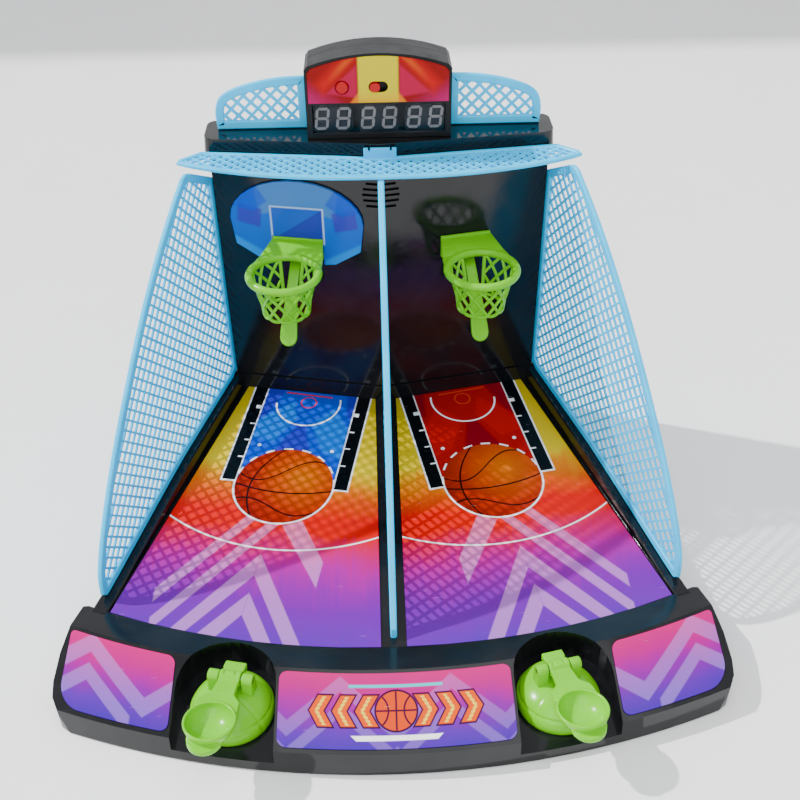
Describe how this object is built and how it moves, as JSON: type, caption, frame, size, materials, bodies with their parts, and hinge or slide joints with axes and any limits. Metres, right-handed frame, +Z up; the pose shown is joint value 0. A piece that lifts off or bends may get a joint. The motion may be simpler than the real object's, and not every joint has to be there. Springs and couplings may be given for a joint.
{
  "type": "basketball hoop machine",
  "caption": "Tabletop arcade basketball game with swivelling spring launchers, sloped courts, hoops with score levers, net guards, a canopy and an electronic scoreboard.",
  "frame": {"origin": "centre of the footprint at the level the feet rest on", "axes": "+X to the player's right across the console, +Y away from the player towards the tower, +Z up"},
  "size_m": [0.4018, 0.3478, 0.3003],
  "materials": {
    "gloss_black": "glossy black ABS",
    "satin_black": "satin black plastic",
    "rubber": "black foam rubber",
    "steel": "plain steel",
    "battery_wrap": "printed cell wrap",
    "court_print": "printed card, yellow to purple",
    "console_print": "printed label, pink to purple",
    "circuit_green": "circuit board",
    "board_print": "printed label, yellow to red",
    "smoked_window": "smoked clear window",
    "digit_grey": "unlit seven-segment modules",
    "red_button": "red moulded plastic",
    "cyan_plastic": "sky blue moulded plastic, low gloss",
    "green_plastic": "lime green moulded plastic",
    "blue_print": "printed blue facets"
  },
  "bodies": {
    "machine": {"base_shell": "gloss_black", "tower_front": "gloss_black", "tower_rear_cover": "gloss_black", "header_shell": "gloss_black", "scoreboard_front": "gloss_black", "scoreboard_rear": "gloss_black", "base_bottom_plate": "satin_black", "battery_box": "satin_black", "battery_door": "satin_black", "speaker": "satin_black", "score_switch_right": "satin_black", "score_switch_left": "satin_black", "rubber_foot_front_left": "rubber", "rubber_foot_front_right": "rubber", "rubber_foot_rear_left": "rubber", "rubber_foot_rear_right": "rubber", "battery_door_screw": "steel", "power_switch": "steel", "lever_pin_right": "steel", "lever_pin_left": "steel", "battery_1": "battery_wrap", "battery_2": "battery_wrap", "battery_3": "battery_wrap", "court_panel_right": "court_print", "court_panel_left": "court_print", "console_label_centre": "console_print", "console_label_right": "console_print", "console_label_left": "console_print", "control_board": "circuit_green", "display_board": "circuit_green", "scoreboard_label": "board_print", "display_window": "smoked_window", "digits_home": "digit_grey", "digits_clock": "digit_grey", "digits_guest": "digit_grey", "side_net_right": "cyan_plastic", "side_net_left": "cyan_plastic", "divider_net": "cyan_plastic", "canopy_net": "cyan_plastic", "wing_right": "cyan_plastic", "wing_left": "cyan_plastic", "hoop_right": "green_plastic", "hoop_left": "green_plastic", "backboard_left": "blue_print"},
    "launcher_right": {"turret_right": "green_plastic", "turret_retainer_right": "steel", "arm_pin_right": "steel", "launch_spring_right": "steel"},
    "launcher_left": {"turret_left": "green_plastic", "turret_retainer_left": "steel", "arm_pin_left": "steel", "launch_spring_left": "steel"},
    "launch_arm_right": {"launch_arm_right": "green_plastic"},
    "launch_arm_left": {"launch_arm_left": "green_plastic"},
    "score_lever_right": {"score_lever_right": "green_plastic"},
    "score_lever_left": {"score_lever_left": "green_plastic"},
    "reset_button": {"reset_button": "red_button"},
    "power_switch_knob": {"power_switch_knob": "red_button"}
  },
  "joints": [
    {"name": "launcher_swivel_right", "type": "hinge", "parent": "machine", "child": "launcher_right", "pos_m": [0.0953, -0.1261, 0.0075], "axis": [0, 0, 1], "range_deg": [-32, 12]},
    {"name": "launch_arm_tilt_right", "type": "hinge", "parent": "launcher_right", "child": "launch_arm_right", "pos_m": [0.09428, -0.12161, 0.032], "axis": [0.9751, 0.2215, 0], "range_deg": [-30, 18], "stiffness_Nm_per_rad": 0.12, "springref_deg": -0.69},
    {"name": "score_lever_pivot_right", "type": "hinge", "parent": "machine", "child": "score_lever_right", "pos_m": [0.05814, 0.12624, 0.166], "axis": [0.9791, 0.2032, 0], "range_deg": [0, 12], "stiffness_Nm_per_rad": 0.01, "springref_deg": -11.46},
    {"name": "launcher_swivel_left", "type": "hinge", "parent": "machine", "child": "launcher_left", "pos_m": [-0.0953, -0.1261, 0.0075], "axis": [0, 0, -1], "range_deg": [-32, 12]},
    {"name": "launch_arm_tilt_left", "type": "hinge", "parent": "launcher_left", "child": "launch_arm_left", "pos_m": [-0.09428, -0.12161, 0.032], "axis": [0.9751, -0.2215, 0], "range_deg": [-30, 18], "stiffness_Nm_per_rad": 0.12, "springref_deg": -0.69},
    {"name": "score_lever_pivot_left", "type": "hinge", "parent": "machine", "child": "score_lever_left", "pos_m": [-0.05814, 0.12624, 0.166], "axis": [0.9791, -0.2032, 0], "range_deg": [0, 12], "stiffness_Nm_per_rad": 0.01, "springref_deg": -11.46},
    {"name": "reset_button_press", "type": "slide", "parent": "machine", "child": "reset_button", "axis": [0, 1, 0], "range_m": [0, 0.001], "stiffness_N_per_m": 250, "springref_m": -0.0006},
    {"name": "power_switch_slide", "type": "slide", "parent": "machine", "child": "power_switch_knob", "axis": [1, 0, 0], "range_m": [0, 0.0044]}
  ]
}
